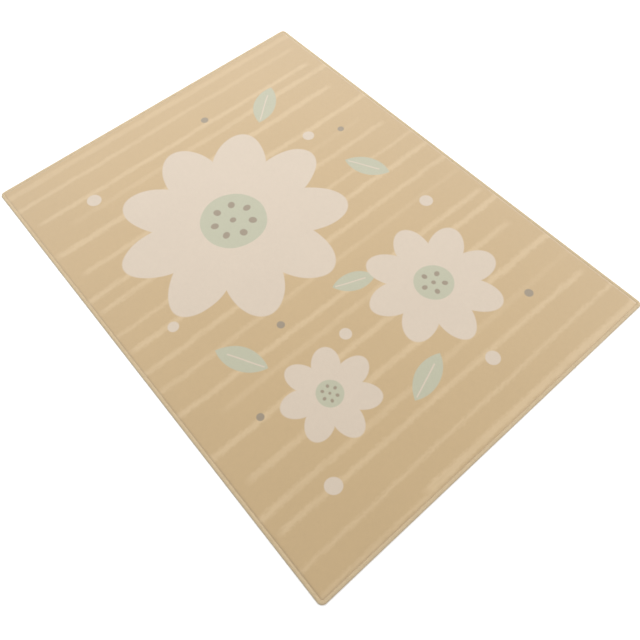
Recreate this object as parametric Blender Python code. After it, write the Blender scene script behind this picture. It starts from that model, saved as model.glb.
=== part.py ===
"""A short-pile kids' rug, 133 x 180 cm, lying flat: a cut panel and its overlocked edge.

The panel is printed velour on a backing. Its rim is pressed thin, and one run of yarn is
overlocked over that rim all the way round. The origin is under the middle of the rug,
+X runs across it, +Y runs up its print and +Z points up, away from the floor.
"""

import math

import bmesh
import bpy
from mathutils import Matrix

# Driving dimensions, in metres.
WIDTH = 1.330
LENGTH = 1.800
THICKNESS = 0.0070
CORNER_RADIUS = 0.018
GAP = 0.0003

# The overlock's cross-section. Insets are measured in from the rug's outer edge.
OVERLOCK_WIDTH = 0.0120
YARN_THICKNESS = 0.0011
CREST_INSET = 0.0056
CREST_HEIGHT = 0.0068
SEAM_HEIGHT = 0.0046
SIDE_HEIGHT = 0.0030
FOOT_INSET = 0.0030

# The pile falls away over this width where it meets the overlock's seam.
PILE_ROLL_WIDTH = 0.0045
PILE_ROLL_HEIGHT = 0.0018

# Smoothness of the round stretches.
CORNER_STEPS = 12
ARC_STEPS = 6

# Colours as seen (sRGB, 0 to 255) and finish.
PANEL_COLOUR = (211, 186, 151)
OVERLOCK_COLOUR = (216, 195, 158)
CLOTH_ROUGHNESS = 0.95


def linear(channel):
    """A colour channel as seen, from 0 to 255, turned into light."""
    value = channel / 255
    if value <= 0.04045:
        return value / 12.92
    return ((value + 0.055) / 1.055) ** 2.4


def cloth(name, colour):
    """A matt cloth material of one colour."""
    material = bpy.data.materials.new(name)
    material.use_nodes = True
    shader = material.node_tree.nodes["Principled BSDF"]
    shader.inputs["Base Color"].default_value = (*map(linear, colour), 1.0)
    shader.inputs["Roughness"].default_value = CLOTH_ROUGHNESS
    shader.inputs["Metallic"].default_value = 0.0
    return material


def new_collection(name):
    """A collection of this name in the scene."""
    collection = bpy.data.collections.new(name)
    bpy.context.scene.collection.children.link(collection)
    return collection


def quarter(centre, radii, start):
    """Points (inset, height) of a quarter ellipse, from the angle start on, anticlockwise."""
    points = []
    for step in range(ARC_STEPS + 1):
        angle = start + math.pi / 2 * step / ARC_STEPS
        inset = centre[0] + radii[0] * math.cos(angle)
        height = centre[1] + radii[1] * math.sin(angle)
        points.append((inset, height))
    return points


def rim_top(depth):
    """The top of the overlock's section, this deep under its outer face.

    The points (inset, height) go from the side, over the crest, in to the seam.
    """
    radii = (CREST_INSET - depth, CREST_HEIGHT - SIDE_HEIGHT - depth)
    shoulder = quarter((CREST_INSET, SIDE_HEIGHT), radii, math.pi / 2)[::-1]
    slope = []
    for step in range(1, ARC_STEPS + 1):
        share = step / ARC_STEPS
        inset = CREST_INSET + (OVERLOCK_WIDTH - CREST_INSET) * share
        fall = (CREST_HEIGHT - SEAM_HEIGHT) * share**2
        slope.append((inset, CREST_HEIGHT - depth - fall))
    return shoulder + slope


def rim_foot(depth):
    """The underside of the same section, from the side in to the overlock's inner end."""
    radii = (FOOT_INSET - depth, SIDE_HEIGHT - depth)
    foot = quarter((FOOT_INSET, SIDE_HEIGHT), radii, math.pi)
    return foot + [(OVERLOCK_WIDTH, depth)]


def outline(steps):
    """The rug's outer edge in plan, a rectangle with round corners, anticlockwise."""
    points = []
    half_x = WIDTH / 2 - CORNER_RADIUS
    half_y = LENGTH / 2 - CORNER_RADIUS
    for turn, (side_x, side_y) in enumerate(((1, 1), (-1, 1), (-1, -1), (1, -1))):
        for step in range(steps + 1):
            angle = math.pi / 2 * (turn + step / steps)
            x = side_x * half_x + CORNER_RADIUS * math.cos(angle)
            y = side_y * half_y + CORNER_RADIUS * math.sin(angle)
            points.append((x, y))
    return points


def closed_curve(name, points, collection):
    """A flat closed polyline through these points."""
    curve = bpy.data.curves.new(name, "CURVE")
    curve.dimensions = "2D"
    spline = curve.splines.new("POLY")
    spline.points.add(len(points) - 1)
    for point, (x, y) in zip(spline.points, points):
        point.co = (x, y, 0.0, 1.0)
    spline.use_cyclic_u = True
    curve_object = bpy.data.objects.new(name, curve)
    collection.objects.link(curve_object)
    return curve_object


def rounded_slab(inset, low, high):
    """A bmesh slab with the rug's outline, this far in from the edge, between two heights."""
    mesh = bmesh.new()
    bmesh.ops.create_cube(mesh, size=1.0)
    size = Matrix.Diagonal((WIDTH - 2 * inset, LENGTH - 2 * inset, high - low, 1.0))
    place = Matrix.Translation((0.0, 0.0, (low + high) / 2))
    bmesh.ops.transform(mesh, matrix=place @ size, verts=mesh.verts)
    uprights = []
    for edge in mesh.edges:
        along = edge.verts[0].co - edge.verts[1].co
        if abs(along.z) > abs(along.x) + abs(along.y):
            uprights.append(edge)
    bmesh.ops.bevel(
        mesh,
        geom=uprights,
        offset=CORNER_RADIUS - inset,
        segments=CORNER_STEPS,
        profile=0.5,
        affect="EDGES",
    )
    return mesh


def step_in(mesh, face, line):
    """Insets this flat face step by step, so that the rim around it follows the line."""
    outwards = math.copysign(1.0, face.normal.z)
    for (inset, height), (next_inset, next_height) in zip(line, line[1:]):
        bmesh.ops.inset_region(
            mesh,
            faces=[face],
            thickness=next_inset - inset,
            depth=outwards * (next_height - height),
            use_even_offset=True,
        )


def make_panel(collection):
    """The cut panel: full thickness inside the seam, and a thin rim in the overlock."""
    depth = YARN_THICKNESS + GAP
    seam_inset = OVERLOCK_WIDTH + GAP
    top = rim_top(depth)[1:]
    underside = rim_foot(depth)[1:]
    rim_inset = top[0][0]
    underside[0] = (rim_inset, underside[0][1])
    top.append((seam_inset, top[-1][1]))
    underside.append((seam_inset, underside[-1][1]))

    roll_centre = (seam_inset + PILE_ROLL_WIDTH, THICKNESS - PILE_ROLL_HEIGHT)
    top += quarter(roll_centre, (PILE_ROLL_WIDTH, PILE_ROLL_HEIGHT), math.pi / 2)[::-1]
    underside.append((seam_inset, 0.0))

    mesh = rounded_slab(rim_inset, underside[0][1], top[0][1])
    mesh.faces.ensure_lookup_table()
    upper = max(mesh.faces, key=lambda face: face.calc_center_median().z)
    lower = min(mesh.faces, key=lambda face: face.calc_center_median().z)
    step_in(mesh, upper, top)
    step_in(mesh, lower, underside)

    data = bpy.data.meshes.new("rug_panel")
    mesh.to_mesh(data)
    mesh.free()
    panel = bpy.data.objects.new("rug_panel", data)
    collection.objects.link(panel)
    data.materials.append(cloth("printed velour", PANEL_COLOUR))
    data.shade_smooth()
    data.set_sharp_from_angle(angle=math.radians(40))
    return panel


def make_overlock(collection, guides):
    """The overlock: its hollow section, swept round the rug's edge."""
    outer = rim_foot(0.0)[::-1] + rim_top(0.0)[1:]
    inner = rim_foot(YARN_THICKNESS)[::-1] + rim_top(YARN_THICKNESS)[1:]
    section = closed_curve("overlock_section", outer + inner[::-1], guides)
    section.hide_render = True
    section.display_type = "WIRE"

    overlock = closed_curve("edge_overlock", outline(CORNER_STEPS), collection)
    overlock.data.bevel_mode = "OBJECT"
    overlock.data.bevel_object = section
    overlock.data.materials.append(cloth("overlock yarn", OVERLOCK_COLOUR))
    return overlock


def clear_scene():
    """Removes what the scene holds at the start."""
    for old in list(bpy.data.objects):
        bpy.data.objects.remove(old, do_unlink=True)


def main():
    """Builds the rug in an empty scene."""
    clear_scene()
    rug = new_collection("kids_rug")
    guides = new_collection("guides")
    make_panel(rug)
    make_overlock(rug, guides)


main()
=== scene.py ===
"""Dresses a packed short-pile kids' rug: printed velour, its overlocked edge and a pale studio."""

import math
from functools import reduce

import bpy
import numpy as np
from mathutils import Matrix, Vector


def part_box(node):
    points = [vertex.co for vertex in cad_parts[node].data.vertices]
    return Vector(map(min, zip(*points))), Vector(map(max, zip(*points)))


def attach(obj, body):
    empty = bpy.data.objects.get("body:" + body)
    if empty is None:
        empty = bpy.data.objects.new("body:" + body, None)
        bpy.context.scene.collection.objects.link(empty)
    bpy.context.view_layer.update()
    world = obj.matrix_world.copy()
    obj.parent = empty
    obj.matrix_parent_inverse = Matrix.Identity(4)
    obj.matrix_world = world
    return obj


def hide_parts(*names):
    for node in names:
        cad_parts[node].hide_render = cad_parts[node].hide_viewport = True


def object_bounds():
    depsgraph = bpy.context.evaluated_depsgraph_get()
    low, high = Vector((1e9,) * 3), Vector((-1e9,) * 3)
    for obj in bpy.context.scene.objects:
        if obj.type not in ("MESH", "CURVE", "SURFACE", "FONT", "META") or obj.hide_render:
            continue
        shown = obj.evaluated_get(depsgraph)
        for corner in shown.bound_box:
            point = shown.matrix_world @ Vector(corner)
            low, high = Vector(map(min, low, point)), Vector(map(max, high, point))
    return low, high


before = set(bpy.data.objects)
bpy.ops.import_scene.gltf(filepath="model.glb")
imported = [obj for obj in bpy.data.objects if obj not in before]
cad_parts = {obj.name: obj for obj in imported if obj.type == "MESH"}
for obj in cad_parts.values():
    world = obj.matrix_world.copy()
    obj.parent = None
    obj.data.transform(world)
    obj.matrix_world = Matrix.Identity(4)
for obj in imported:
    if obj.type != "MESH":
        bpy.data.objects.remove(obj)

bl_info = {
    "name": "Printed kids' rug",
    "version": (1, 0, 0),
    "blender": (4, 5, 0),
    "location": "View3D > Sidebar > Rug",
    "description": "Makes the pile, print, overlock and studio of a short-pile rug",
    "category": "Object",
}

CAD_LOW, CAD_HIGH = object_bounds()
PANEL_LOW, PANEL_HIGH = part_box("rug_panel")
EDGE_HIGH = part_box("edge_overlock")[1]

MM = 0.001
TOUCHING = 0.01 * MM  # Places closer than this count as one place.

# The overlock's section, as the solid edge has it. Insets run in from the rug's outer edge.
CORNER_RADIUS = 18.0 * MM
OVERLOCK_WIDTH = 12.0 * MM
CREST_INSET = 5.6 * MM
CREST_HEIGHT = float(EDGE_HIGH[2])
SEAM_HEIGHT = 4.6 * MM
SIDE_HEIGHT = 3.0 * MM
FOOT_INSET = 3.0 * MM
RIM_DEPTH = 1.4 * MM

# The camera, worked out from the rug's four straight edges in the picture, 640 pixels square.
FRAME_PIXELS = 640.0
FOCAL_PIXELS = 612.576
SENSOR_MM = 36.0
CAMERA_AZIMUTH = math.radians(-36.7937)
CAMERA_ELEVATION = math.radians(61.6258)
CAMERA_ROLL = math.radians(-4.2665)
CAMERA_DISTANCE = 1.93743
CAMERA_TARGET = Vector((-0.13018, -0.26948, 0.0035))


def linear(colour):
    """A colour as seen (sRGB, 0 to 255) turned into light (0 to 1)."""
    levels = []
    for channel in colour:
        value = channel / 255
        levels.append(value / 12.92 if value <= 0.04045 else ((value + 0.055) / 1.055) ** 2.4)
    return tuple(levels)


# ---------------------------------------------------------------------------------------------
# What a user would change


def colour_property(name, description, seen):
    """A colour property whose default is a colour as seen."""
    return bpy.props.FloatVectorProperty(
        name=name,
        description=description,
        subtype="COLOR",
        min=0.0,
        max=1.0,
        default=linear(seen),
    )


def length_property(name, description, millimetres):
    """A length property whose default is given in millimetres."""
    return bpy.props.FloatProperty(
        name=name,
        description=description,
        subtype="DISTANCE",
        unit="LENGTH",
        min=0.0,
        default=millimetres * MM,
    )


class RugSizes(bpy.types.PropertyGroup):
    """The sizes of the pile and of its overlocked edge."""

    pile_wave: length_property("Pile wave", "How far the pile's level wanders up and down", 0.35)
    seam_wander: length_property("Seam wander", "How far the pile leans over the seam", 0.3)
    wrap_pitch: length_property("Wrap pitch", "From one wrap of the overlock to the next", 2.4)
    yarn_width: length_property("Yarn width", "Width of a wrap's flattened yarn", 3.1)
    yarn_thickness: length_property("Yarn thickness", "Thickness of the flattened yarn", 1.1)
    stitch_pitch: length_property("Stitch pitch", "From one needle stitch to the next", 4.0)
    thread_width: length_property("Thread width", "Thickness of the needle thread", 0.55)


class RugColours(bpy.types.PropertyGroup):
    """The colours of the print and of the yarns."""

    ground: colour_property("Ground", "The beige that the whole pile is dyed", (195, 165, 116))
    stripe: colour_property("Stripe", "The lighter brushed stripes", (208, 180, 135))
    cream: colour_property("Cream", "The petals and larger dots", (211, 194, 173))
    mint: colour_property("Mint", "The flowers' middles and the leaves", (183, 182, 155))
    taupe: colour_property("Taupe", "The seeds and small dots", (147, 131, 107))
    yarn: colour_property("Overlock yarn", "The yarn round the edge", (214, 190, 148))
    thread: colour_property("Needle thread", "The stitches along the seam", (212, 184, 144))
    backing: colour_property("Backing", "The woven underside", (214, 205, 186))


# ---------------------------------------------------------------------------------------------
# Shader maths


class Signal:
    """A socket's value, so that shader maths reads as Python: each operator adds a Math node.

    The reflected forms let a number stand first, as in 1 - mask.
    """

    def __init__(self, cloth, socket):
        self.cloth = cloth
        self.socket = socket

    def math(self, operation, *others, clamp=False):
        """A Math node on this value and the others."""
        inputs = dict(enumerate((self, *others)))
        return self.cloth.node("ShaderNodeMath", inputs, operation=operation, use_clamp=clamp)

    def __add__(self, other):
        return self.math("ADD", other)

    __radd__ = __add__

    def __mul__(self, other):
        return self.math("MULTIPLY", other)

    __rmul__ = __mul__

    def __sub__(self, other):
        return self.math("SUBTRACT", other)

    def __rsub__(self, other):
        return self.math("MULTIPLY_ADD", -1.0, other)

    def __abs__(self):
        return self.math("ABSOLUTE")

    def scaled(self, factor, offset):
        """factor times this value, plus offset, in one node."""
        return self.math("MULTIPLY_ADD", factor, offset)

    def swing(self, width, middle=0.0):
        """This noise, from 0 to 1, as a swing of this whole width about a middle."""
        return self.scaled(width, middle - width / 2)

    def most(self, other):
        """The larger of this and the other."""
        return self.math("MAXIMUM", other)

    def least(self, other):
        """The smaller of this and the other."""
        return self.math("MINIMUM", other)

    def clipped(self):
        """This value held between 0 and 1."""
        return self.math("ADD", 0.0, clamp=True)

    def under(self, limit, softness):
        """1 where this value is below the limit, 0 above it, over a soft edge this wide."""
        return self.math("MULTIPLY_ADD", -1.0 / softness, limit / softness + 0.5, clamp=True)


# The sockets of a colour Mix node, by number, because several of them share a name.
MIX_FACTOR, MIX_A, MIX_B, MIX_COLOUR = 0, 6, 7, 2


class Cloth:
    """A material under work: its shader, its coordinates and one method that adds any node."""

    def __init__(self, name, roughness, specular, **constants):
        self.material = bpy.data.materials.new(name)
        self.material.use_nodes = True
        self.tree = self.material.node_tree
        self.shader = self.tree.nodes["Principled BSDF"]
        self.shader.inputs["Roughness"].default_value = roughness
        self.shader.inputs["Specular IOR Level"].default_value = specular
        for key, value in constants.items():
            self.shader.inputs[key.replace("_", " ")].default_value = value

    def put(self, socket, value):
        """Links a signal to a socket, or sets the socket to a number or a colour."""
        if isinstance(value, Signal):
            self.tree.links.new(value.socket, socket)
        elif socket.type == "RGBA" and len(value) == 3:
            socket.default_value = (*value, 1.0)
        else:
            socket.default_value = value

    def node(self, kind, inputs=None, output=0, **settings):
        """Adds a node: its settings first, then its sockets' values or links. Gives one output."""
        added = self.tree.nodes.new(kind)
        for key, value in settings.items():
            setattr(added, key, value)
        for key, value in (inputs or {}).items():
            self.put(added.inputs[key], value)
        return Signal(self, added.outputs[output])

    def here(self):
        """The object's own coordinates."""
        return self.node("ShaderNodeTexCoord", output="Object")

    def seen_from(self, vector, x, y, turn):
        """A vector moved so that (x, y) is the origin, and turned back by an angle."""
        inputs = {"Vector": vector, "Location": (x, y, 0), "Rotation": (0, 0, turn)}
        return self.node("ShaderNodeMapping", inputs, vector_type="TEXTURE")

    def split(self, vector):
        """The x and y of a vector."""
        x = self.node("ShaderNodeSeparateXYZ", {"Vector": vector}, output="X")
        return x, Signal(self, x.socket.node.outputs["Y"])

    def noise(self, vector, scale, detail=2.0, output="Fac", roughness=0.5):
        """Noise from 0 to 1, with this many blobs to a metre."""
        inputs = {"Vector": vector, "Scale": scale, "Detail": detail, "Roughness": roughness}
        return self.node("ShaderNodeTexNoise", inputs, output=output)

    def brushed(self, grain, detail, roughness=0.5):
        """Noise drawn out one way. The grain is its blobs to a metre across and up the rug."""
        across, up = grain
        inputs = {"Vector": self.here(), "Scale": (1 / across, 1 / up, 1)}
        stretched = self.node("ShaderNodeMapping", inputs, vector_type="TEXTURE")
        return self.noise(stretched, 1.0, detail, roughness=roughness)

    def blend(self, mask, below, above):
        """One colour over another, by a mask."""
        inputs = {MIX_FACTOR: mask, MIX_A: below, MIX_B: above}
        return self.node("ShaderNodeMix", inputs, MIX_COLOUR, data_type="RGBA")

    def shade(self, colour, factor):
        """A colour made darker or lighter by a factor that varies."""
        grey = self.node("ShaderNodeCombineXYZ", {"X": factor, "Y": factor, "Z": factor})
        return self.node("ShaderNodeVectorMath", {0: colour, 1: grey}, operation="MULTIPLY")

    def finish(self, colour, height, bump_height):
        """Links the colour and the relief to the shader. Gives the material."""
        self.put(self.shader.inputs["Base Color"], colour)
        inputs = {"Height": height, "Distance": bump_height, "Strength": 1.0}
        self.put(self.shader.inputs["Normal"], self.node("ShaderNodeBump", inputs))
        return self.material


# ---------------------------------------------------------------------------------------------
# The print

# Brushed stripes from the top down. left and right are the stripe's heights up the rug at
# x = -0.5 m and x = 0.5 m; start and end are where it fades; faint_left and faint_right are
# its strengths at the two sides. All lengths are in metres.
STRIPE_COLUMNS = ("left", "right", "width", "start", "end", "faint_left", "faint_right")
STRIPES = (
    (0.852, 0.856, 0.024, -0.70, 0.70, 0.65, 0.60),
    (0.775, 0.781, 0.018, -0.70, 0.61, 0.90, 0.55),
    (0.670, 0.668, 0.018, -0.62, 0.60, 0.95, 1.00),
    (0.598, 0.610, 0.021, -0.53, 0.70, 0.35, 1.00),
    (0.505, 0.506, 0.023, -0.64, 0.58, 1.00, 0.90),
    (0.386, 0.378, 0.020, -0.61, 0.70, 0.85, 1.00),
    (0.281, 0.291, 0.018, -0.70, 0.55, 0.95, 0.25),
    (0.219, 0.219, 0.018, -0.64, 0.60, 0.95, 0.85),
    (0.110, 0.116, 0.013, -0.66, 0.66, 0.80, 0.80),
    (0.033, 0.036, 0.019, -0.64, 0.66, 1.00, 1.00),
    (-0.060, -0.056, 0.018, -0.70, 0.66, 0.90, 0.90),
    (-0.141, -0.132, 0.016, -0.66, 0.64, 0.80, 0.40),
    (-0.242, -0.246, 0.018, -0.70, 0.63, 1.00, 1.00),
    (-0.312, -0.305, 0.019, -0.54, 0.70, 0.45, 1.00),
    (-0.407, -0.409, 0.019, -0.66, 0.595, 1.00, 0.85),
    (-0.526, -0.529, 0.021, -0.61, 0.70, 0.85, 1.00),
    (-0.630, -0.620, 0.019, -0.66, 0.66, 0.90, 0.30),
    (-0.692, -0.697, 0.017, -0.63, 0.62, 0.90, 0.95),
    (-0.799, -0.790, 0.012, -0.66, 0.66, 0.80, 0.90),
    (-0.879, -0.876, 0.012, -0.66, -0.18, 0.75, 0.75),
    (-0.866, -0.875, 0.022, -0.26, 0.70, 1.00, 1.00),
)
STRIPE_SIDE = 0.5

# How softly a stripe fades over its long edges and at its ends.
STRIPE_EDGE = 11.0 * MM
STRIPE_END = 30.0 * MM

# The stripes' unevenness: how far a slow drift moves them up and down the rug, and then the
# finer noises, each with its grain, its detail, its roughness and how far it moves their edges.
STRIPE_DRIFT = 9.0 * MM
STRIPE_NOISES = (
    ((38.0, 150.0), 2.0, 0.50, 8.0 * MM),
    ((17.0, 14.0), 1.0, 0.50, 9.0 * MM),
    ((70.0, 90.0), 3.0, 0.65, 20.0 * MM),
)

# Patches where the stripes are fainter: their grain, and the stripes' strength at the noise's
# lowest and highest, before it is held to 1.
PATCH_GRAIN = (11.0, 40.0)
PATCH_LEAST = 0.42
PATCH_MOST = 1.52

# Flowers: the middle, the turn in radians, the number of petals, the reach of a petal's own
# middle, its half length and half width, the radius of the flower's middle, and its ring of
# seeds: how many, the ring's radius and a seed's. Lengths are in metres.
FLOWER_COLUMNS = (
    "x", "y", "turn", "petals", "reach", "half_length", "half_width",
    "middle", "seeds", "seed_ring", "seed",
)  # fmt: skip
FLOWERS = (
    (-0.10, 0.23, 0.15, 9, 0.245, 0.160, 0.098, 0.118, 7, 0.068, 0.0125),
    (0.235, -0.41, 0.50, 8, 0.136, 0.092, 0.059, 0.066, 5, 0.036, 0.0085),
    (-0.270, -0.48, 0.10, 7, 0.093, 0.062, 0.044, 0.044, 6, 0.024, 0.0052),
)
SEED_STRETCH = 1.15  # Length over width of a seed in the ring.
SEED_CORE = 0.9  # Size of the seed in the middle, as a share of the others'.

# Leaves: middle, turn in degrees, length and width. The vein's place and half length are shares
# of the leaf's length.
LEAF_COLUMNS = ("x", "y", "turn", "length", "width")
LEAVES = (
    (0.330, 0.600, 38.0, 0.190, 0.085),
    (0.410, 0.100, -62.0, 0.170, 0.078),
    (-0.400, -0.215, 118.0, 0.180, 0.080),
    (-0.015, -0.630, 20.0, 0.175, 0.078),
    (0.045, -0.235, -24.0, 0.150, 0.070),
)
VEIN_PLACE = -0.08
VEIN_HALF_LENGTH = 0.34
VEIN_HALF_WIDTH = 2.2 * MM

# Small round dots between them: middle and radius.
DOT_COLUMNS = ("x", "y", "radius")
CREAM_DOTS = (
    (-0.420, 0.640, 0.026),
    (0.350, 0.360, 0.022),
    (-0.492, 0.020, 0.019),
    (0.455, -0.160, 0.024),
    (-0.105, -0.360, 0.020),
    (0.175, -0.715, 0.023),
    (-0.440, -0.690, 0.025),
)
TAUPE_DOTS = (
    (0.105, 0.690, 0.014),
    (0.465, 0.300, 0.012),
    (-0.235, -0.200, 0.013),
    (0.430, -0.640, 0.014),
    (-0.470, -0.400, 0.012),
)

PRINT_EDGE = 3.0 * MM  # How softly one dyed colour ends on the next.
FUZZ = 2.4 * MM  # The width over which single fibres fray a colour's edge.

# The hand-drawn waver of the print: its blobs to a metre and how far it moves an outline.
DRIFT_GRAIN = 5.0
HAND_DRIFT = 14.0 * MM


def rows(columns, table):
    """The rows of a table, each as a dictionary by column name."""
    return [dict(zip(columns, row)) for row in table]


def nearest(distances):
    """The least of several distances outside shapes."""
    return reduce(Signal.least, distances)


def stripe_mask(x, height, patches):
    """How strongly the brushed stripes cover the ground."""
    stripes = []
    for row in rows(STRIPE_COLUMNS, STRIPES):
        slant = (row["right"] - row["left"]) / (2 * STRIPE_SIDE)
        middle = (row["right"] + row["left"]) / 2
        off_middle = abs(height - x.scaled(slant, middle))
        band = off_middle.under(row["width"] / 2, STRIPE_EDGE)
        gain = (row["faint_right"] - row["faint_left"]) / (2 * STRIPE_SIDE)
        strength = x.scaled(gain, (row["faint_right"] + row["faint_left"]) / 2)
        ends = x.under(row["end"], STRIPE_END) * (1 - x.under(row["start"], STRIPE_END))
        stripes.append(band * strength * ends)
    return reduce(Signal.most, stripes) * patches


def ring_fold(x, y, count):
    """Folds the plane into one of count equal wedges: the place in a wedge whose axis is x."""
    wedge = 2 * math.pi / count
    angle = y.math("ARCTAN2", x)
    radius = (x * x + y * y).math("SQRT")
    folded = angle.math("WRAP", wedge / 2, -wedge / 2)
    return radius * folded.math("COSINE"), radius * folded.math("SINE"), radius


def ellipse(x, y, half_length, half_width):
    """About how far a point lies outside an ellipse round the origin, in metres."""
    along = x * (1 / half_length)
    across = y * (1 / half_width)
    return ((along * along + across * across).math("SQRT") - 1) * min(half_length, half_width)


def flower_distances(cloth, warped):
    """Distances outside the petals, the middles and the seeds of all the flowers."""
    petals, middles, seeds = [], [], []
    for row in rows(FLOWER_COLUMNS, FLOWERS):
        x, y = cloth.split(cloth.seen_from(warped, row["x"], row["y"], row["turn"]))
        along, across, radius = ring_fold(x, y, row["petals"])
        petal = ellipse(along - row["reach"], across, row["half_length"], row["half_width"])
        petals.append(petal.least(radius - row["reach"]))
        middles.append(radius - row["middle"])
        along, across, radius = ring_fold(x, y, row["seeds"])
        seed = ellipse(along - row["seed_ring"], across, row["seed"] * SEED_STRETCH, row["seed"])
        seeds.append(seed.least(radius - row["seed"] * SEED_CORE))
    return nearest(petals), nearest(middles), nearest(seeds)


def leaf_distances(cloth, warped):
    """Distance outside the leaves, and distance from their middle veins."""
    leaves, veins = [], []
    for row in rows(LEAF_COLUMNS, LEAVES):
        place = cloth.seen_from(warped, row["x"], row["y"], math.radians(row["turn"]))
        along, across = cloth.split(place)
        side = abs(across)
        radius = (row["length"] ** 2 + row["width"] ** 2) / (4 * row["width"])
        shifted = side + (radius - row["width"] / 2)
        leaves.append((along * along + shifted * shifted).math("SQRT") - radius)
        off_vein = abs(along - row["length"] * VEIN_PLACE) - row["length"] * VEIN_HALF_LENGTH
        veins.append(side.most(off_vein))
    return nearest(leaves), nearest(veins)


def dot_distance(x, y, table):
    """Distance outside the nearest of a table of dots."""
    dots = []
    for row in rows(DOT_COLUMNS, table):
        across = x - row["x"]
        up = y - row["y"]
        dots.append((across * across + up * up).math("SQRT") - row["radius"])
    return nearest(dots)


def striped_ground(cloth, colours, drift):
    """The dyed ground with its brushed stripes."""
    x, y = cloth.split(cloth.here())
    height = y + cloth.split(drift)[1].swing(STRIPE_DRIFT)
    for grain, detail, roughness, reach in STRIPE_NOISES:
        height = height + cloth.brushed(grain, detail, roughness).swing(reach)
    patches = cloth.brushed(PATCH_GRAIN, 1.0).scaled(PATCH_MOST - PATCH_LEAST, PATCH_LEAST)
    stripes = stripe_mask(x, height, patches.clipped())
    return cloth.blend(stripes, colours.ground, colours.stripe)


def printed_colour(cloth, colours, fibre):
    """The striped ground with its flowers, leaves and dots printed over it."""
    drift = cloth.noise(cloth.here(), DRIFT_GRAIN, 1.0, "Color")
    colour = striped_ground(cloth, colours, drift)

    inputs = {0: drift, 1: (HAND_DRIFT,) * 3, 2: (-HAND_DRIFT / 2,) * 3}
    waver = cloth.node("ShaderNodeVectorMath", inputs, operation="MULTIPLY_ADD")
    warped = cloth.node("ShaderNodeVectorMath", {0: cloth.here(), 1: waver}, operation="ADD")
    x, y = cloth.split(warped)
    petals, middles, seeds = flower_distances(cloth, warped)
    leaves, veins = leaf_distances(cloth, warped)
    cream_dots = dot_distance(x, y, CREAM_DOTS)
    taupe_dots = dot_distance(x, y, TAUPE_DOTS)

    fuzz = fibre.swing(FUZZ)
    leaf_mask = (leaves + fuzz).under(0.0, PRINT_EDGE)
    vein_mask = leaf_mask * veins.under(VEIN_HALF_WIDTH, PRINT_EDGE)
    cream_mask = (petals.least(cream_dots) + fuzz).under(0.0, PRINT_EDGE)
    middle_mask = (middles + fuzz).under(0.0, PRINT_EDGE)
    taupe_mask = (seeds.least(taupe_dots) + fuzz).under(0.0, PRINT_EDGE)
    colour = cloth.blend(leaf_mask, colour, colours.mint)
    colour = cloth.blend(vein_mask, colour, colours.cream)
    colour = cloth.blend(cream_mask, colour, colours.cream)
    colour = cloth.blend(middle_mask, colour, colours.mint)
    return cloth.blend(taupe_mask, colour, colours.taupe)


# ---------------------------------------------------------------------------------------------
# Materials

# Each noise has a grain, its blobs to a metre, and a tone, how far it takes the colour from its
# darkest to its lightest as a share of the light. A relief is the height of a material's bumps.
FIBRE_GRAIN, FIBRE_TONE = (2600.0, 1300.0), 0.20
TUFT_GRAIN, TUFT_TONE = (900.0, 600.0), 0.34
# The nap's tone is painted sheen: its patches lighten and darken the colour. Its relief is real.
NAP_SHEEN_GRAIN, NAP_SHEEN_TONE = 75.0, 0.06
SWEEP_GRAIN, SWEEP_TONE = 4.0, 0.05
PILE_RELIEF = 0.35 * MM


def velour_material(colours):
    """Short cut pile: tufts, fibre ends, a faint nap with painted sheen, and the print dyed into
    it.
    """
    cloth = Cloth(
        "printed velour",
        roughness=0.95,
        specular=0.15,
        Sheen_Weight=0.8,
        Sheen_Roughness=0.7,
    )
    here = cloth.here()
    fibre = cloth.brushed(FIBRE_GRAIN, 2.0)
    tuft = cloth.brushed(TUFT_GRAIN, 3.0, roughness=0.6)
    nap_and_sheen = cloth.noise(here, NAP_SHEEN_GRAIN, 3.0)
    sweep = cloth.noise(here, SWEEP_GRAIN, 2.0)
    colour = printed_colour(cloth, colours, fibre)
    depth = tuft.swing(TUFT_TONE, 1.0) + fibre.swing(FIBRE_TONE)
    # The nap adds painted sheen: its patches make the colour lighter and darker.
    tone = depth + nap_and_sheen.swing(NAP_SHEEN_TONE) + sweep.swing(SWEEP_TONE)
    relief = tuft + fibre * 0.5 + nap_and_sheen * 0.9
    return cloth.finish(cloth.shade(colour, tone), relief, PILE_RELIEF)


WEAVE_PITCH = 2.6 * MM  # From one thread of the backing to the next but one.
WEAVE_TONE = 0.05
COATING_GRAIN, COATING_TONE = 900.0, 0.10
CLOUD_GRAIN, CLOUD_TONE = 9.0, 0.08
CLOUD_STAIN = 0.2
WEAVE_RELIEF = 0.3 * MM


def backing_material(colours):
    """The underside: a plain woven ground, coated to hold the pile."""
    cloth = Cloth("woven backing", roughness=0.85, specular=0.25)
    here = cloth.here()
    x, y = cloth.split(here)
    turns = 2 * math.pi / WEAVE_PITCH
    weave = (x * turns).math("SINE") * (y * turns).math("SINE")
    coating = cloth.noise(here, COATING_GRAIN)
    cloudy = cloth.noise(here, CLOUD_GRAIN)
    tone = weave.scaled(WEAVE_TONE, 1 - WEAVE_TONE)
    tone = tone + coating.swing(COATING_TONE) + cloudy.swing(CLOUD_TONE)
    relief = weave * 0.5 + coating * 0.4
    ground = cloth.blend(cloudy * CLOUD_STAIN, colours.backing, colours.ground)
    return cloth.finish(cloth.shade(ground, tone), relief, WEAVE_RELIEF)


# The yarn's twist: plies round it, turns along a wrap, and strands in a ply.
YARN_MAP = "yarn"  # The UV map on a wrap: along its yarn, and round it.
PLIES = 5
TWISTS = 8
STRANDS = 5
YARN_TONE = 0.96
TWIST_TONE = 0.05
STRAND_TONE = 0.24
WRAP_GRAIN = 300.0  # How fast the strands change from wrap to wrap, round the rug.
YARN_GRAIN = 3200.0
UNEVEN_GRAIN, UNEVEN_TONE = 160.0, 0.16
YARN_RELIEF = 0.16 * MM


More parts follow.
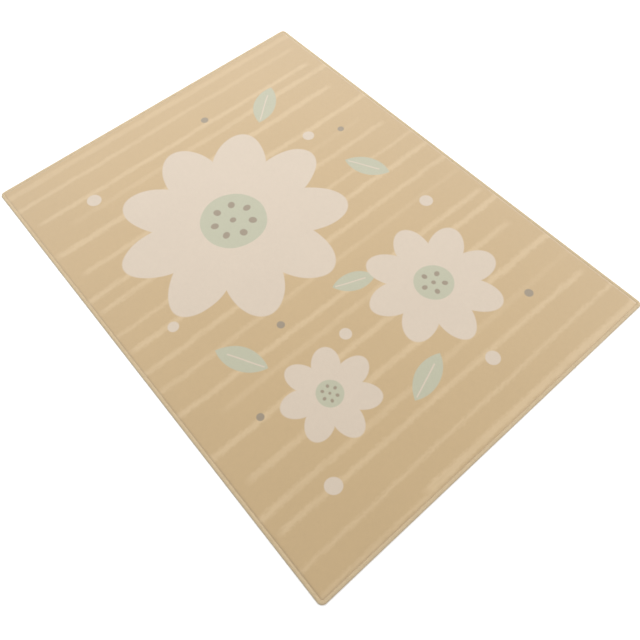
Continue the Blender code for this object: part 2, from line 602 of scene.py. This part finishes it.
def yarn_material(colours):
    """Textured yarn: plies that twist along each wrap, and a slight change from wrap to wrap."""
    cloth = Cloth(
        "overlock yarn",
        roughness=0.8,
        specular=0.25,
        Sheen_Weight=0.5,
        Sheen_Roughness=0.7,
    )
    here = cloth.here()
    x, y = cloth.split(here)
    along, around = cloth.split(cloth.node("ShaderNodeUVMap", uv_map=YARN_MAP))
    plies = around * PLIES + along * TWISTS
    twist = (plies * (2 * math.pi)).math("SINE")
    inputs = {"X": plies * STRANDS, "Z": (x + y) * WRAP_GRAIN}
    strand = cloth.noise(cloth.node("ShaderNodeCombineXYZ", inputs), 1.0)
    fibre = cloth.noise(here, YARN_GRAIN)
    uneven = cloth.noise(here, UNEVEN_GRAIN)
    tone = twist.scaled(TWIST_TONE, YARN_TONE)
    tone = tone + strand.swing(STRAND_TONE) + uneven.swing(UNEVEN_TONE)
    relief = twist * 0.5 + strand * 0.7 + fibre * 0.5
    return cloth.finish(cloth.shade(colours.yarn, tone), relief, YARN_RELIEF)


THREAD_GRAIN, THREAD_TONE = 3000.0, 0.16
THREAD_RELIEF = 0.08 * MM


def thread_material(colours):
    """The needle thread: finer and smoother than the wraps' yarn."""
    cloth = Cloth(
        "needle thread",
        roughness=0.7,
        specular=0.3,
        Sheen_Weight=0.4,
        Sheen_Roughness=0.6,
    )
    fibre = cloth.noise(cloth.here(), THREAD_GRAIN, 1.0)
    tone = fibre.swing(THREAD_TONE, 1.0)
    return cloth.finish(cloth.shade(colours.thread, tone), fibre, THREAD_RELIEF)


FLOOR_GRAIN = 40.0
FLOOR_WHITES = ((0.95, 0.95, 0.95), (0.96, 0.96, 0.96))
FLOOR_RELIEF = 0.02 * MM


def floor_material():
    """A plain pale floor, lit a little from within as a light table is."""
    cloth = Cloth(
        "pale floor",
        roughness=0.9,
        specular=0.0,
        Emission_Color=(1.0, 1.0, 1.0, 1.0),
        Emission_Strength=0.3,
    )
    grain = cloth.noise(cloth.here(), FLOOR_GRAIN)
    return cloth.finish(cloth.blend(grain, *FLOOR_WHITES), grain, FLOOR_RELIEF)


# ---------------------------------------------------------------------------------------------
# Modelling helpers


def deselect():
    """Clears the selection that the frame or the last piece left."""
    bpy.ops.object.select_all(action="DESELECT")


def only(piece):
    """Makes this piece the one selected and active object."""
    deselect()
    piece.select_set(True)
    bpy.context.view_layer.objects.active = piece


def apply_all(piece):
    """Applies a piece's modifiers and its place, so that its object sits at the origin."""
    only(piece)
    for modifier in list(piece.modifiers):
        bpy.ops.object.modifier_apply(modifier=modifier.name)
    bpy.ops.object.transform_apply(location=True, rotation=True, scale=True)


def points_of(mesh):
    """The places of a mesh's vertices, a row each."""
    flat = np.empty(len(mesh.vertices) * 3, np.float32)
    mesh.vertices.foreach_get("co", flat)
    return flat.reshape(-1, 3).astype(float)


def move_points(mesh, points):
    """Puts a mesh's vertices at these places."""
    mesh.vertices.foreach_set("co", points.astype(np.float32).ravel())
    mesh.update()


def waves(x, y, lengths, seed):
    """A smooth uneven surface from -1 to 1, as a sum of waves of these lengths."""
    random = np.random.default_rng(seed)
    total = np.zeros_like(x)
    for length in lengths:
        heading = random.uniform(0, 2 * math.pi)
        phase = random.uniform(0, 2 * math.pi)
        along = x * math.cos(heading) + y * math.sin(heading)
        total += np.sin(along * 2 * math.pi / length + phase)
    return total / len(lengths)


def quarter(centre, radii, start, steps):
    """Points (inset, height) of a quarter ellipse, from the angle start on, anticlockwise."""
    points = []
    for step in range(steps + 1):
        angle = start + math.pi / 2 * step / steps
        inset = centre[0] + radii[0] * math.cos(angle)
        height = centre[1] + radii[1] * math.sin(angle)
        points.append((inset, height))
    return points


def crest_height(inset, depth):
    """The top of the overlock's section over an inset past its crest, this deep inside it."""
    share = (inset - CREST_INSET) / (OVERLOCK_WIDTH - CREST_INSET)
    return CREST_HEIGHT - depth - (CREST_HEIGHT - SEAM_HEIGHT) * share**2


# ---------------------------------------------------------------------------------------------
# The panel

# Rows of the panel's grid near its rim, as insets from the rug's outer edge, in millimetres:
# the pressed rim, the foot of the pile at the seam, the pile's round shoulder, and its start.
RIM_ROWS = (
    1.45, 1.6, 1.9, 2.4, 3.2, 4.4, 5.6, 7.2, 9.0, 10.6, 12.0, 12.3,
    12.42, 12.65, 13.0, 13.5, 14.2, 15.0, 16.0, 17.2, 19.5, 24.0,
)  # fmt: skip
ROW_SPACING = 9.5 * MM

# The inset of the pile's foot at the seam, and how wide its shoulder is and how far it falls.
SEAM_FOOT = 12.3 * MM
PILE_SHOULDER = 6.0 * MM
SHOULDER_FALL = 2.3 * MM

# The pile's waves, in metres, and the strip inside the overlock over which they rise. The lean
# over the seam is most at its own inset and fades out this far on either side.
WAVE_LENGTHS = (0.9, 0.62, 0.41, 0.27, 0.19, 0.13)
WAVE_RISE = 12.0 * MM
LEAN_LENGTHS = (0.21, 0.13, 0.083, 0.057)
LEAN_INSET = 14.2 * MM
LEAN_REACH = 4.0 * MM

FACING_DOWN = -0.2  # A face whose normal points up less than this shows the backing.
PANEL_SMOOTHING = math.radians(50)
TINY = 1e-9  # Stands in for a radius of nothing, which can't be divided by.


def grid_places(half_size):
    """Where the grid's rows lie from one side of the rug to the other: close at the rims."""
    rim = half_size - np.array(RIM_ROWS) * MM
    count = max(2, round(2 * rim[-1] / ROW_SPACING))
    inside = np.linspace(-rim[-1], rim[-1], count + 1)[1:-1]
    return np.concatenate([-rim, inside, rim[::-1]])


def rounded(x, y, half_x, half_y):
    """Moves points of a square-cornered grid so that its rows run round the rug's corners.

    Gives the new places and each point's inset from the rug's outer edge.
    """
    from_x = half_x - np.abs(x)
    from_y = half_y - np.abs(y)
    inset = np.minimum(from_x, from_y)
    radius = np.maximum(CORNER_RADIUS - inset, TINY)
    from_corner = np.maximum(from_x, from_y) - inset
    share = np.clip(1 - from_corner / radius, 0, 1)
    bent = (share > 0) & (inset < CORNER_RADIUS)
    turn = np.where(from_y < from_x, math.pi / 2 - share * math.pi / 4, share * math.pi / 4)
    arc_x = half_x - CORNER_RADIUS + radius * np.cos(turn)
    arc_y = half_y - CORNER_RADIUS + radius * np.sin(turn)
    new_x = np.where(bent, np.sign(x) * arc_x, x)
    new_y = np.where(bent, np.sign(y) * arc_y, y)
    return new_x, new_y, inset


def in_pile(inset):
    """True where an inset lies inside the seam."""
    return inset > SEAM_FOOT + TOUCHING


def rim_profile(inset):
    """The height of the rim's upper face, pressed thin inside the overlock."""
    rim_top = crest_height(np.maximum(inset, CREST_INSET), RIM_DEPTH)
    reach = CREST_INSET - RIM_DEPTH
    share = np.clip((CREST_INSET - inset) / reach, 0, 1)
    nose = SIDE_HEIGHT + (CREST_HEIGHT - SIDE_HEIGHT - RIM_DEPTH) * np.sqrt(1 - share**2)
    return np.where(inset < CREST_INSET, nose, rim_top)


def pile_profile(inset):
    """The height of the pile, which falls away to its foot at the seam."""
    share = np.clip((inset - SEAM_FOOT) / PILE_SHOULDER, 0, 1)
    return float(PANEL_HIGH[2]) - SHOULDER_FALL * (1 - share) ** 2


def under_profile(inset):
    """The height of the panel's underside over an inset: flat, and raised in the overlock."""
    reach = FOOT_INSET - RIM_DEPTH
    share = np.clip((FOOT_INSET - inset) / reach, 0, 1)
    rim = SIDE_HEIGHT - (SIDE_HEIGHT - RIM_DEPTH) * np.sqrt(1 - share**2)
    return np.where(in_pile(inset), 0.0, rim)


class RUG_OT_panel(bpy.types.Operator):
    """Makes the printed pile panel with its woven backing"""

    bl_idname = "rug.panel"
    bl_label = "Pile panel"

    def execute(self, context):
        sizes = context.scene.rug_sizes
        colours = context.scene.rug_colours
        half_x = float(CAD_HIGH[0])
        half_y = float(CAD_HIGH[1])
        columns = grid_places(half_x)
        lines = grid_places(half_y)

        deselect()
        bpy.ops.mesh.primitive_grid_add(
            x_subdivisions=len(columns) - 1,
            y_subdivisions=len(lines) - 1,
            size=2.0,
        )
        panel = context.active_object
        panel.name = "pile_panel"
        # The even grid's rows and columns go to their places, and round the corners.
        grid = points_of(panel.data)
        column = np.rint((grid[:, 0] + 1) / 2 * (len(columns) - 1)).astype(int)
        line = np.rint((grid[:, 1] + 1) / 2 * (len(lines) - 1)).astype(int)
        x, y, inset = rounded(columns[column], lines[line], half_x, half_y)
        move_points(panel.data, np.stack([x, y, np.full_like(x, 1.0)], 1))

        walls = panel.modifiers.new("thickness", "SOLIDIFY")
        walls.thickness = 1.0
        walls.offset = -1.0
        apply_all(panel)
        solid = points_of(panel.data)
        upper = solid[:, 2] > 0.5
        # Solidify adds the lower points after the upper ones, in the same order.
        inset = np.concatenate([inset, inset])
        wave = waves(solid[:, 0], solid[:, 1], WAVE_LENGTHS, seed=4)
        lean = waves(solid[:, 0], solid[:, 1], LEAN_LENGTHS, seed=7)
        rim = np.clip((inset - OVERLOCK_WIDTH) / WAVE_RISE, 0, 1)
        seam = np.clip(1 - np.abs(inset - LEAN_INSET) / LEAN_REACH, 0, 1)
        pile = pile_profile(inset + sizes.seam_wander * lean * seam)
        high = np.where(in_pile(inset), pile, rim_profile(inset))
        high += sizes.pile_wave * wave * rim
        solid[:, 2] = np.where(upper, high, under_profile(inset))
        move_points(panel.data, solid)

        panel.data.materials.append(velour_material(colours))
        panel.data.materials.append(backing_material(colours))
        normals = np.empty(len(panel.data.polygons) * 3, np.float32)
        panel.data.polygons.foreach_get("normal", normals)
        faces_down = normals.reshape(-1, 3)[:, 2] < FACING_DOWN
        panel.data.polygons.foreach_set("material_index", faces_down.astype(np.int32))
        bpy.ops.object.shade_smooth_by_angle(angle=PANEL_SMOOTHING)

        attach(panel, "root")
        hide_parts("rug_panel")
        return {"FINISHED"}


# ---------------------------------------------------------------------------------------------
# The overlock

# The wraps: how far one slants along the rug from its start to its end, the steps of its line,
# how it dives into the seam, and the steps over its round back.
WRAP_SLANT = 1.3 * MM
FOOT_STEPS = 2
CREST_STEPS = 4
SLOPE_STEPS = 3
DIVE_INSET = 0.7 * MM
DIVE_DEPTH = 0.35 * MM
YARN_ARC_STEPS = 4
YARN_SMOOTHING = math.radians(60)

# How much one wrap differs from the next, as the standard deviation of a random draw. Tilt and
# width are shares. How far in a wrap dives differs only past this share of its line.
LOOSE_SHIFT = 0.08 * MM
LOOSE_TILT = 0.3
LOOSE_WIDTH = 0.07
LOOSE_LIFT = 0.10 * MM
LOOSE_DIVE = 0.22 * MM
DIVE_START = 0.6

# The rug's four sides, in the order in which its outline runs, and the steps of each corner.
SIDES = ("right", "top", "left", "bottom")
CORNER_STEPS = 24


def outline_points(inset, steps):
    """The rug's edge in plan, this far in, with round corners. Anticlockwise from lower right."""
    radius = CORNER_RADIUS - inset
    half_x = float(CAD_HIGH[0]) - CORNER_RADIUS
    half_y = float(CAD_HIGH[1]) - CORNER_RADIUS
    points = []
    for turn, (side_x, side_y) in enumerate(((1, -1), (1, 1), (-1, 1), (-1, -1))):
        for step in range(steps + 1):
            angle = math.pi / 2 * (turn - 1 + step / steps)
            x = side_x * half_x + radius * math.cos(angle)
            y = side_y * half_y + radius * math.sin(angle)
            points.append((x, y))
    return points


def length_of(points):
    """The length of a closed polyline."""
    return sum(math.dist(a, b) for a, b in zip(points, points[1:] + points[:1]))


def corner_starts(inset, around):
    """How far round the outline each corner's arc starts, and the whole way round at the end."""
    arc = math.pi / 2 * (CORNER_RADIUS - inset)
    upright = 2 * (float(CAD_HIGH[1]) - CORNER_RADIUS)
    level = 2 * (float(CAD_HIGH[0]) - CORNER_RADIUS)
    starts = [0.0]
    for side in (upright, level, upright, level):
        starts.append(starts[-1] + arc + side)
    return [start * around / starts[-1] for start in starts]


def polyline(name, points, closed, dimensions):
    """A curve object of straight runs through these points.

    A section is "2D", and a line that rises is "3D". So is a path for the Curve modifier, which
    mirrors what it bends along a "2D" one.
    """
    bpy.ops.curve.primitive_nurbs_path_add()
    line = bpy.context.active_object
    line.name = name
    line.data.splines.clear()
    line.data.dimensions = dimensions
    spline = line.data.splines.new("POLY")
    spline.points.add(len(points) - 1)
    for point, place in zip(spline.points, points):
        point.co = (*place, 1.0)
    spline.use_cyclic_u = closed
    return line


def swept(name, points, profile):
    """A closed mesh of this section (across, outwards) along the points, with a map on it."""
    section = polyline("section", [(x, -y, 0.0) for x, y in profile], True, "2D")
    yarn = polyline(name, points, False, "3D")
    yarn.data.twist_mode = "MINIMUM"
    yarn.data.bevel_mode = "OBJECT"
    yarn.data.bevel_object = section
    yarn.data.use_fill_caps = True
    only(yarn)
    bpy.ops.object.convert(target="MESH")
    yarn = bpy.context.active_object
    bpy.data.objects.remove(section)
    bpy.ops.object.mode_set(mode="EDIT")
    bpy.ops.mesh.select_all(action="SELECT")
    bpy.ops.mesh.remove_doubles(threshold=TOUCHING)
    bpy.ops.mesh.normals_make_consistent(inside=False)
    bpy.ops.object.mode_set(mode="OBJECT")
    yarn.data.uv_layers[0].name = YARN_MAP
    return yarn


def row_of(name, unit, count, pitch, start):
    """A row of copies of one unit, a pitch apart along X. The unit stays."""
    only(unit)
    bpy.ops.object.duplicate()
    row = bpy.context.active_object
    row.name = name
    row.location = (start, 0.0, 0.0)
    copies = row.modifiers.new("copies", "ARRAY")
    copies.use_relative_offset = False
    copies.use_constant_offset = True
    copies.constant_offset_displace = (pitch, 0.0, 0.0)
    copies.count = count
    copies.use_merge_vertices = False
    apply_all(row)
    return row


def bend_round(row, path):
    """Bends a straight row to follow the rug's edge."""
    bend = row.modifiers.new("bend", "CURVE")
    bend.object = path
    bend.deform_axis = "POS_X"
    apply_all(row)


def wrap_line(depth):
    """The yarn's way round the rim, this deep under the wrap's outer face, as (inset, height).

    It comes out from under the rug, goes up its side and over the crest, and dives at the seam.
    """
    foot = quarter(
        (FOOT_INSET, SIDE_HEIGHT),
        (FOOT_INSET - depth, SIDE_HEIGHT - depth),
        math.pi,
        FOOT_STEPS,
    )
    crest = quarter(
        (CREST_INSET, SIDE_HEIGHT),
        (CREST_INSET - depth, CREST_HEIGHT - SIDE_HEIGHT - depth),
        math.pi / 2,
        CREST_STEPS,
    )
    slope = []
    for step in range(1, SLOPE_STEPS + 1):
        inset = CREST_INSET + (OVERLOCK_WIDTH - CREST_INSET) * step / SLOPE_STEPS
        slope.append((inset, crest_height(inset, depth)))
    start = (OVERLOCK_WIDTH, depth)
    end = (OVERLOCK_WIDTH + DIVE_INSET, SEAM_HEIGHT - depth - DIVE_DEPTH)
    return [start, *foot[::-1], *crest[::-1][1:], *slope, end]


def half_round(width, thickness, steps):
    """A yarn pressed flat on its inner side: a half ellipse, as (across, outwards)."""
    points = []
    for step in range(steps + 1):
        angle = math.pi * step / steps
        points.append((width / 2 * math.cos(angle), thickness * (math.sin(angle) - 0.5)))
    return points


def full_round(width, sides):
    """A round thread's section."""
    turns = [2 * math.pi * side / sides for side in range(sides)]
    return [(width / 2 * math.cos(turn), width / 2 * math.sin(turn)) for turn in turns]


def loosen(row, unit, count, pitch, start, shares, seed):
    """Sets each wrap a little off the next: its slant, width, height and where it dives."""
    random = np.random.default_rng(seed)
    points = points_of(row.data).reshape(count, len(unit), 3)
    middle = (start + pitch * np.arange(count))[:, None]
    slant = (shares - 0.5) * WRAP_SLANT
    across = points[:, :, 0] - middle
    shift, tilt, fat, lift, dive = random.normal(0.0, 1.0, (5, count, 1)).clip(-2, 2)
    points[:, :, 0] = (
        middle
        + slant * (1 + LOOSE_TILT * tilt)
        + across * (1 + LOOSE_WIDTH * fat)
        + shift * LOOSE_SHIFT
    )
    near_seam = np.clip((shares - DIVE_START) / (1 - DIVE_START), 0, 1) ** 2
    upper = np.clip(points[:, :, 2] / CREST_HEIGHT, 0, 1) ** 2
    points[:, :, 1] += dive * LOOSE_DIVE * near_seam
    # No wrap stands above the crest: the highest draw leaves it where it is.
    points[:, :, 2] += (lift.clip(-2, 1) - 1) * LOOSE_LIFT * upper
    move_points(row.data, points.reshape(-1, 3))


class RUG_OT_overlock(bpy.types.Operator):
    """Wraps the overlock's yarn round the panel's rim, all the way round the rug"""

    bl_idname = "rug.overlock"
    bl_label = "Overlocked edge"

    def execute(self, context):
        sizes = context.scene.rug_sizes
        outline = outline_points(CREST_INSET, CORNER_STEPS)
        around = length_of(outline)
        wraps = round(around / sizes.wrap_pitch)
        pitch = around / wraps
        line = wrap_line(sizes.yarn_thickness / 2)
        points = [(0.0, inset - CREST_INSET, height) for inset, height in line]
        profile = half_round(sizes.yarn_width, sizes.yarn_thickness, YARN_ARC_STEPS)

        deselect()
        path = polyline("edge_path", [(x, y, 0.0) for x, y in outline], True, "3D")
        wrap = swept("wrap", points, profile)
        unit = points_of(wrap.data)
        # How far along the wrap's line each point lies, from 0 to 1.
        off_line = np.abs(unit[:, None, 1:] - np.array(points)[None, :, 1:]).sum(2)
        shares = off_line.argmin(1) / (len(points) - 1)
        material = yarn_material(context.scene.rug_colours)
        starts = corner_starts(CREST_INSET, around)
        for number, side in enumerate(SIDES):
            first = round(starts[number] / pitch)
            last = round(starts[number + 1] / pitch)
            row = row_of(f"overlock_{side}", wrap, last - first, pitch, first * pitch)
            loosen(row, unit, last - first, pitch, first * pitch, shares, seed=number)
            bend_round(row, path)
            row.data.materials.append(material)
            bpy.ops.object.shade_smooth_by_angle(angle=YARN_SMOOTHING)
            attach(row, "root")
            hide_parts("edge_overlock")
        bpy.data.objects.remove(wrap)
        bpy.data.objects.remove(path)
        return {"FINISHED"}


# A stitch: the inset of its row, the height of its thread's middle, the gap to the next stitch,
# and its line, as shares of its length and of its ends' depth. That depth is in thread widths.
STITCH_INSET = 12.1 * MM
STITCH_LIFT = 4.82 * MM
STITCH_GAP = 0.7 * MM
STITCH_LINE = (
    (-0.50, -1.0),
    (-0.44, -0.2),
    (-0.25, 0.0),
    (0.25, 0.0),
    (0.44, -0.2),
    (0.50, -1.0),
)
STITCH_SINK = 1.6
THREAD_SIDES = 6
THREAD_SMOOTHING = math.radians(75)


class RUG_OT_stitches(bpy.types.Operator):
    """Sews the needle thread's stitches along the overlock's seam"""

    bl_idname = "rug.stitches"
    bl_label = "Needle stitches"

    def execute(self, context):
        sizes = context.scene.rug_sizes
        outline = outline_points(STITCH_INSET, CORNER_STEPS)
        around = length_of(outline)
        count = round(around / sizes.stitch_pitch)
        pitch = around / count
        reach = pitch - STITCH_GAP
        sink = STITCH_SINK * sizes.thread_width
        points = [(reach * along, 0.0, STITCH_LIFT + sink * drop) for along, drop in STITCH_LINE]

        deselect()
        path = polyline("seam_path", [(x, y, 0.0) for x, y in outline], True, "3D")
        stitch = swept("stitch", points, full_round(sizes.thread_width, THREAD_SIDES))
        stitches = row_of("needle_stitches", stitch, count, pitch, pitch / 2)
        bend_round(stitches, path)
        stitches.data.materials.append(thread_material(context.scene.rug_colours))
        bpy.ops.object.shade_smooth_by_angle(angle=THREAD_SMOOTHING)
        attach(stitches, "root")
        bpy.data.objects.remove(stitch)
        bpy.data.objects.remove(path)

        return {"FINISHED"}


# ---------------------------------------------------------------------------------------------
# The studio

FLOOR_SIZE = 16.0
FLOOR_DROP = 0.05 * MM  # The floor lies this far under the rug, so that they don't share a face.
SKY_STRENGTH = 0.45

# The lamps: name, place, side of the square and watts.
LAMPS = (
    ("overhead", (0.4, 1.4, 3.2), 3.0, 89.5),
    ("back", (0.6, 3.2, 2.2), 2.0, 12.0),
    ("side", (2.2, -2.8, 1.4), 1.0, 36.3),
)


def aim(lamp, target):
    """Turns a light so that it shines at a point."""
    away = lamp.location - target
    lamp.rotation_euler = away.to_track_quat("Z", "Y").to_euler()


def camera_place():
    """The camera's matrix: where it stands, looks and how it is rolled."""
    level = math.cos(CAMERA_ELEVATION)
    back = Vector((
        math.sin(CAMERA_AZIMUTH) * level,
        -math.cos(CAMERA_AZIMUTH) * level,
        math.sin(CAMERA_ELEVATION),
    ))  # fmt: skip
    side = Vector((0, 0, 1)).cross(back).normalized()
    up = back.cross(side)
    right = math.cos(CAMERA_ROLL) * side + math.sin(CAMERA_ROLL) * up
    top = -math.sin(CAMERA_ROLL) * side + math.cos(CAMERA_ROLL) * up
    turn = Matrix((right, top, back)).transposed().to_4x4()
    return Matrix.Translation(CAMERA_TARGET + CAMERA_DISTANCE * back) @ turn


class RUG_OT_studio(bpy.types.Operator):
    """Makes the pale floor, the soft lights and the camera"""

    bl_idname = "rug.studio"
    bl_label = "Studio"

    def execute(self, context):
        deselect()
        bpy.ops.mesh.primitive_plane_add(size=FLOOR_SIZE, location=(0, 0, -FLOOR_DROP))
        floor = context.active_object
        floor.name = "floor"
        floor.data.materials.append(floor_material())
        floor.visible_diffuse = False
        apply_all(floor)

        world = bpy.data.worlds.new("soft daylight")
        world.use_nodes = True
        sky = world.node_tree.nodes["Background"]
        sky.inputs["Color"].default_value = (1.0, 1.0, 1.0, 1.0)
        sky.inputs["Strength"].default_value = SKY_STRENGTH
        context.scene.world = world

        for name, place, size, power in LAMPS:
            bpy.ops.object.light_add(type="AREA", location=place)
            lamp = context.active_object
            lamp.name = name
            lamp.data.shape = "SQUARE"
            lamp.data.size = size
            lamp.data.energy = power
            lamp.visible_camera = False
            aim(lamp, Vector((0, 0, 0)))

        bpy.ops.object.camera_add()
        camera = context.active_object
        camera.name = "camera"
        camera.data.sensor_width = SENSOR_MM
        camera.data.lens = FOCAL_PIXELS / FRAME_PIXELS * SENSOR_MM
        camera.data.clip_start = 10.0 * MM
        camera.matrix_world = camera_place()
        context.scene.camera = camera

        context.scene.view_settings.view_transform = "Standard"
        return {"FINISHED"}


# ---------------------------------------------------------------------------------------------
# The add-on


class RUG_PT_maker(bpy.types.Panel):
    """Lists the rug's sizes, colours and operators"""

    bl_idname = "RUG_PT_maker"
    bl_label = "Printed rug"
    bl_space_type = "VIEW_3D"
    bl_region_type = "UI"
    bl_category = "Rug"

    def draw(self, context):
        for group in (context.scene.rug_sizes, context.scene.rug_colours):
            column = self.layout.column()
            for key in group.__annotations__:
                column.prop(group, key)
        for operator in OPERATORS:
            self.layout.operator(operator.bl_idname)


OPERATORS = (RUG_OT_studio, RUG_OT_panel, RUG_OT_overlock, RUG_OT_stitches)
CLASSES = (RugSizes, RugColours, *OPERATORS, RUG_PT_maker)


def register():
    """Registers the classes and their settings."""
    for kind in CLASSES:
        bpy.utils.register_class(kind)
    bpy.types.Scene.rug_sizes = bpy.props.PointerProperty(type=RugSizes)
    bpy.types.Scene.rug_colours = bpy.props.PointerProperty(type=RugColours)


def unregister():
    """Removes them again."""
    del bpy.types.Scene.rug_colours
    del bpy.types.Scene.rug_sizes
    for kind in reversed(CLASSES):
        bpy.utils.unregister_class(kind)


def main():
    """Makes the studio and the rug."""
    register()
    bpy.ops.rug.studio()
    bpy.ops.rug.panel()
    bpy.ops.rug.overlock()
    bpy.ops.rug.stitches()


if __name__ == "__main__":
    main()
